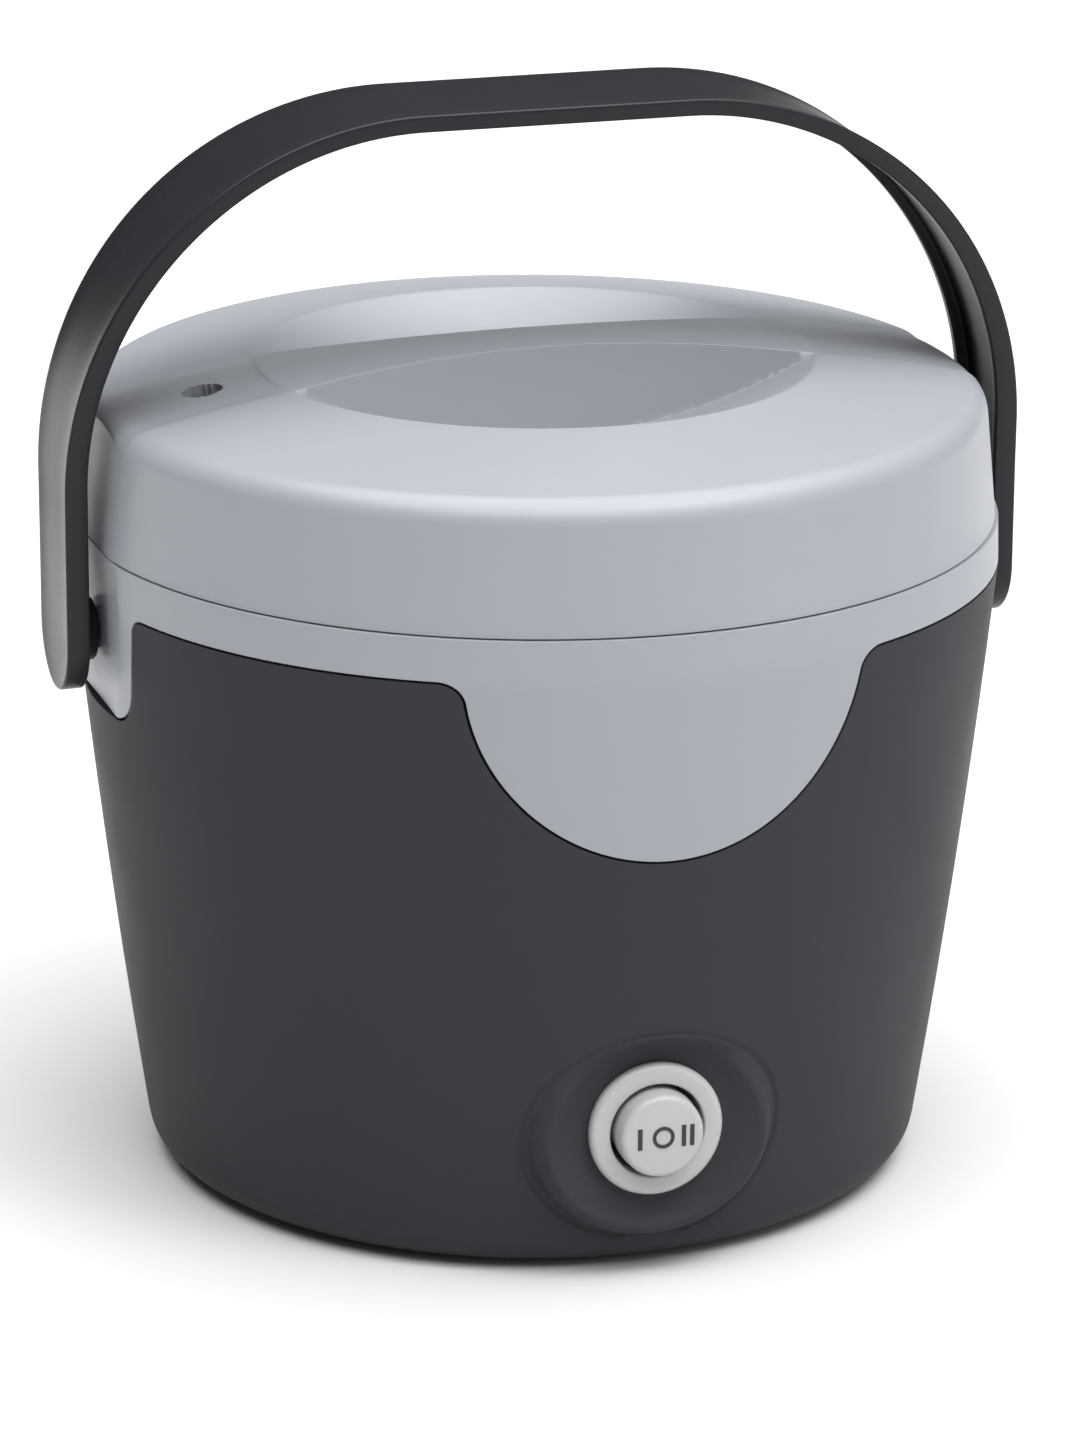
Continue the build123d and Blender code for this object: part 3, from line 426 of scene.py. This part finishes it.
def lid_height(x, y):
    """The dome with its two finger recesses, either side of the waisted bridge."""
    r = np.hypot(x, y)
    bowl = BOWL_CENTRE - np.sqrt(BOWL**2 - r**2)
    lean = np.sqrt(1 + (13.4 * x / 51.0**2) ** 2)
    beside = (np.abs(y) - bridge_half(x)) / lean
    wall = dome(r) - 7.0 * beside
    return smooth_min(dome(r), smooth_max(bowl, wall, 0.9), 0.5)


def lid_block(side):
    """Half of the lid's outside, at the front (side -1) or the back (side 1)."""
    low, high = 50.0, 54.0
    for _ in range(40):
        rim = (low + high) / 2
        if dome(rim) > BOWL_CENTRE - math.sqrt(BOWL**2 - rim**2):
            low = rim
        else:
            high = rim
    turn = np.linspace(0, math.pi, 301)
    x = -rim * np.cos(turn)
    edge = rim * np.sin(turn)
    half = np.minimum(bridge_half(x), edge)
    width = edge - half
    lip = np.minimum(1.2, 0.2 * half)
    fit = np.minimum(1.0, width / 6.0)
    rows = [(half - lip) * f for f in np.linspace(0, 1, 8)]
    rows += [half - lip * f for f in np.linspace(1, 0, 7)[1:]]
    rows += [half + s * fit for s in np.linspace(0, 4.2, 22)[1:]]
    rows += [half + 4.2 * fit + f * (width - 5.7 * fit) for f in np.linspace(0, 1, 14)[1:]]
    rows += [edge - s * fit for s in np.linspace(1.5, 0, 9)[1:]]
    y = np.array(rows)
    x_in = np.tile(x, (len(y), 1))
    z = lid_height(x_in, y)

    down = np.array([SKIRT - CORNER, LID_LOW - dome(CORNER)])
    down /= np.linalg.norm(down)
    outward = np.array([-down[1], down[0]])
    start = np.array([CORNER, dome(CORNER)]) - SHOULDER * outward
    near, far = 0.0, 20.0
    middle = np.array([0.0, CROWN - SPHERE])
    for _ in range(50):
        t = (near + far) / 2
        if np.linalg.norm(start + t * down - middle) > SPHERE - SHOULDER:
            near = t
        else:
            far = t
    centre = start + t * down
    steep = math.degrees(math.atan2(centre[1] - middle[1], centre[0]))
    shallow = math.degrees(math.atan2(outward[1], outward[0]))
    bend = arc_points(centre[0], centre[1], SHOULDER, steep, shallow, 0.45)
    plain = np.concatenate([np.linspace(rim, rim + 1.5, 6)[1:], np.arange(rim + 2.1, bend[0, 0] - 0.3, 0.5)])
    skirt = np.linspace(bend[-1], [SKIRT, LID_LOW], 18)[1:]
    radii = np.concatenate([plain, bend[:, 0], skirt[:, 0]])
    heights = np.concatenate([dome(plain), bend[:, 1], skirt[:, 1]])
    x_out = -radii[:, None] * np.cos(turn)[None]
    y_out = radii[:, None] * np.sin(turn)[None]
    z_out = np.tile(heights[:, None], len(turn))
    inner = slice(0, len(plain))
    z_out[inner] = smooth_min(z_out[inner], lid_height(x_out[inner], y_out[inner]), 0.1)
    band = 14.2 + 3.2 * (np.abs(x_out) - 51.0) / 32.0
    dip = 0.6 * smoothstep((band - y_out) / 4.5) * smoothstep((np.abs(x_out) - 49.0) / 7.0)
    on_top = smoothstep((z_out - 142.0) / 6.0)
    z_out = z_out - dip * on_top
    x_out = np.sign(x_out) * smooth_min(np.abs(x_out), flat_x(z_out), 0.12)

    x = np.vstack([x_in, x_out])
    y = np.vstack([y, y_out])
    z = np.vstack([z, z_out])
    away = np.hypot(x - VENT_X, y)
    ring = np.abs(away - VENT_R) < 0.33
    pull = np.where(ring, VENT_R / np.maximum(away, 0.01), 1.0)
    x = VENT_X + (x - VENT_X) * pull
    y = y * pull
    points = np.stack([x, side * y, z], axis=-1).reshape(-1, 3)
    faces = grid_faces(len(z), z.shape[1], flip=side < 0)
    reach = np.hypot(points[faces][:, :, 0] - VENT_X, points[faces][:, :, 1]).max(axis=1)
    return points, faces[reach > VENT_R + 0.01]


piece("lid_moulding", [lid_block(-1), lid_block(1)], MATERIALS["light_grey"], "lid",
      ["lid_shell"], thickness=2.2, edge=0.3)
vent_tube = lathe([(3.95, 152.4), (5.2, 152.0), (5.4, 129.4), (3.95, 129.4), (3.95, 152.4)],
                  (VENT_X, 0, 0), (0, 0, 1), 48)
piece("lid_vent_tube", [vent_tube], MATERIALS["light_grey"], "lid", closed=True)


# ---------------------------------------------------------------- carry handle
def handle_path():
    """Matching points of the handle's outer and inner lines, from the left pivot over to the right."""
    out, into = [], []
    for t in np.linspace(0, 1, 12)[:-1]:
        out.append((ARM_OUT, PIVOT + t * (TOP_OUT - BEND_OUT - PIVOT)))
        into.append((ARM_IN, PIVOT + t * (TOP_IN - BEND_IN - PIVOT)))
    for turn in np.radians(np.linspace(0, 90, 56)):
        out.append((BEND_X + BEND_OUT * math.cos(turn), TOP_OUT - BEND_OUT + BEND_OUT * math.sin(turn)))
        into.append((BEND_X + BEND_IN * math.cos(turn), TOP_IN - BEND_IN + BEND_IN * math.sin(turn)))
    for t in np.linspace(0, 1, 10)[1:]:
        out.append((BEND_X * (1 - t), TOP_OUT))
        into.append((BEND_X * (1 - t), TOP_IN))
    out, into = np.array(out), np.array(into)
    mirror = np.array([-1.0, 1.0])
    return np.vstack([out * mirror, out[-2::-1]]), np.vstack([into * mirror, into[-2::-1]])


def handle_block():
    out, into = handle_path()
    depth = np.linalg.norm(into - out, axis=1)
    inward = (into - out) / depth[:, None]
    half = ARM_HALF + (TOP_HALF - ARM_HALF) * smoothstep((out[:, 1] - WIDEN_FROM) / WIDEN_OVER)
    # Each row: share of the half width, inset from the edge, depth, and 1 where depth starts inside
    section = [(f, EDGE_ROUND, DISH * (1 - f**4), 0) for f in np.linspace(0, 1, 15)]
    for a in np.radians(np.linspace(0, 90, 6))[1:]:
        section.append((1.0, EDGE_ROUND * (1 - math.sin(a)), EDGE_ROUND * (1 - math.cos(a)), 0))
    section.append((1.0, 0.0, -LIP_ROUND, 1))
    for a in np.radians(np.linspace(0, 90, 5))[1:]:
        section.append((1.0, LIP_ROUND * (1 - math.cos(a)), LIP_ROUND * (math.sin(a) - 1), 1))
    for a in np.radians(np.linspace(0, 90, 5)):
        section.append((1.0, FLANGE + LIP_ROUND * (math.sin(a) - 1), LIP_ROUND * (math.cos(a) - 1), 1))
    for a in np.radians(np.linspace(0, 90, 5)):
        inset, deep = INNER_ROUND * (1 - math.cos(a)), INNER_ROUND * (1 - math.sin(a))
        section.append((1.0, FLANGE + inset, WEB_DEPTH + deep, 0))
    for f in np.linspace(1, 0, 8)[1:]:
        section.append((f, FLANGE + INNER_ROUND, WEB_DEPTH, 0))
    loops = []
    for share, inset, deep, from_inside in section:
        across = (half - inset) * share
        down = deep + depth * from_inside
        centre = out + inward * down[:, None]
        round_end = (ARM_HALF - inset) * share
        swing = np.linspace(0, math.pi, 25)[1:-1]
        one = np.column_stack([centre[:, 0], across, centre[:, 1]])
        right = np.column_stack([
            np.full(23, centre[-1, 0]), round_end * np.cos(swing), PIVOT - round_end * np.sin(swing)])
        two = one[::-1] * np.array([1, -1, 1])
        left = np.column_stack([
            np.full(23, centre[0, 0]), -round_end * np.cos(swing), PIVOT - round_end * np.sin(swing)])
        loops.append(np.vstack([one, right, two, left]))
    points = np.array(loops)
    return points.reshape(-1, 3), grid_faces(len(points), points.shape[1], wrap=True)


handle = [handle_block()]
for side in (-1, 1):
    boss = [(0, 86.1), (5.6, 86.1), (6.0, 86.5), (6.0, 91.7), (0, 91.7)]
    journal = [(0, 79.2), (3.7, 79.2), (4.0, 79.5), (4.0, 86.8), (0, 86.8)]
    handle += [lathe(p, (0, 0, PIVOT), (side, 0, 0), 64) for p in (boss, journal)]
piece("carry_handle", handle, MATERIALS["charcoal_handle"], "bail",
      ["bail_handle"], closed=True)


# ---------------------------------------------------------------- switch
def rounded_corner(cx, cy, r, start, end, count=7):
    angles = np.radians(np.linspace(start, end, count))
    return [(cx + r * math.cos(a), cy + r * math.sin(a)) for a in angles]


bezel = [(0, 54), (10.0, 54), (10.0, 75.6), (12.6, 75.6)]
bezel += rounded_corner(12.8 - 1.3, 78.2 - 1.3, 1.3, 0, 90)
bezel += rounded_corner(9.05 + 0.4, 78.2 - 0.4, 0.4, 90, 180, 5)
bezel += [(9.05, 63), (0, 63)]
piece("switch_bezel", [lathe(bezel, (0, 0, SWITCH_Z), (0, -1, 0), 160)], MATERIALS["silver_plastic"],
      "base", ["switch_housing"], closed=True)
cap = [(0, 70), (7.4, 70), (8.1, 77.4)]
cap += rounded_corner(7.92 - 1.1, 81.6 - 1.1, 1.1, 0, 90)
cap += [(0, 81.6)]
piece("switch_cap", [lathe(cap, (0, 0, SWITCH_Z), (0, -1, 0), 160)], MATERIALS["silver_plastic"],
      "rocker", ["switch_rocker"], closed=True)


# ---------------------------------------------------------------- studio
def plain_floor():
    mesh = bpy.data.meshes.new("floor")
    mesh.from_pydata([(-4, -4, 0), (4, -4, 0), (4, 4, 0), (-4, 4, 0)], [], [(0, 1, 2, 3)])
    floor = bpy.data.objects.new("floor", mesh)
    bpy.context.scene.collection.objects.link(floor)
    paint = moulded("floor_paint", (0.67, 0.67, 0.67), 0.9, grain=0.0, mottle=0.004, specular=0.1)
    mesh.materials.append(paint)


def soft_light(name, place, aim, size, power):
    data = bpy.data.lights.new(name, "AREA")
    data.shape = "RECTANGLE"
    data.size, data.size_y = size
    data.energy = power
    lamp = bpy.data.objects.new(name, data)
    bpy.context.scene.collection.objects.link(lamp)
    lamp.location = place
    lamp.rotation_euler = (Vector(aim) - Vector(place)).to_track_quat("-Z", "Y").to_euler()


def wide_light(name, towards, spread, strength):
    """A large far softbox: spread is the angle it fills, in degrees."""
    data = bpy.data.lights.new(name, "SUN")
    data.energy, data.angle = strength, math.radians(spread)
    lamp = bpy.data.objects.new(name, data)
    bpy.context.scene.collection.objects.link(lamp)
    lamp.rotation_euler = Vector(towards).to_track_quat("Z", "Y").to_euler()


plain_floor()
world = bpy.data.worlds.new("studio")
bpy.context.scene.world = world
world.use_nodes = True
world.node_tree.nodes["Background"].inputs[0].default_value = (1.0, 1.0, 1.0, 1)
world.node_tree.nodes["Background"].inputs[1].default_value = 0.12
wide_light("overhead", (0.06, -0.12, 0.99), 78, 5.3)
wide_light("front_key", (0.50, -0.66, 0.56), 46, 0.3)
wide_light("sparkle", (0.28, -0.35, 0.89), 14, 0.45)
soft_light("right_strip", (0.60, -0.72, 0.25), (0, 0, 0.09), (0.4, 0.6), 0.7)

# The camera stands to the left of the front and above, at the photograph's viewing angle
turn, rise, roll = math.radians(-17.3), math.radians(18.05), math.radians(0.30)
right = Vector((math.cos(turn), math.sin(turn), 0))
up = Vector((-math.sin(turn) * math.sin(rise), math.cos(turn) * math.sin(rise), math.cos(rise)))
back = Vector((math.sin(turn) * math.cos(rise), -math.cos(turn) * math.cos(rise), math.sin(rise)))
rolled_right = right * math.cos(roll) + up * math.sin(roll)
rolled_up = up * math.cos(roll) - right * math.sin(roll)
place = Vector((0, 0, 0.08153)) + back * 1.201
lens = bpy.data.cameras.new("camera")
lens.lens = 155.9
lens.sensor_width = 36.0
lens.shift_x, lens.shift_y = 0.0071, 0.0038
lens.clip_start, lens.clip_end = 0.05, 20
camera = bpy.data.objects.new("camera", lens)
bpy.context.scene.collection.objects.link(camera)
camera.matrix_world = Matrix((
    (rolled_right.x, rolled_up.x, back.x, place.x),
    (rolled_right.y, rolled_up.y, back.y, place.y),
    (rolled_right.z, rolled_up.z, back.z, place.z),
    (0, 0, 0, 1),
))
bpy.context.scene.camera = camera
bpy.context.scene.view_settings.view_transform = "Standard"
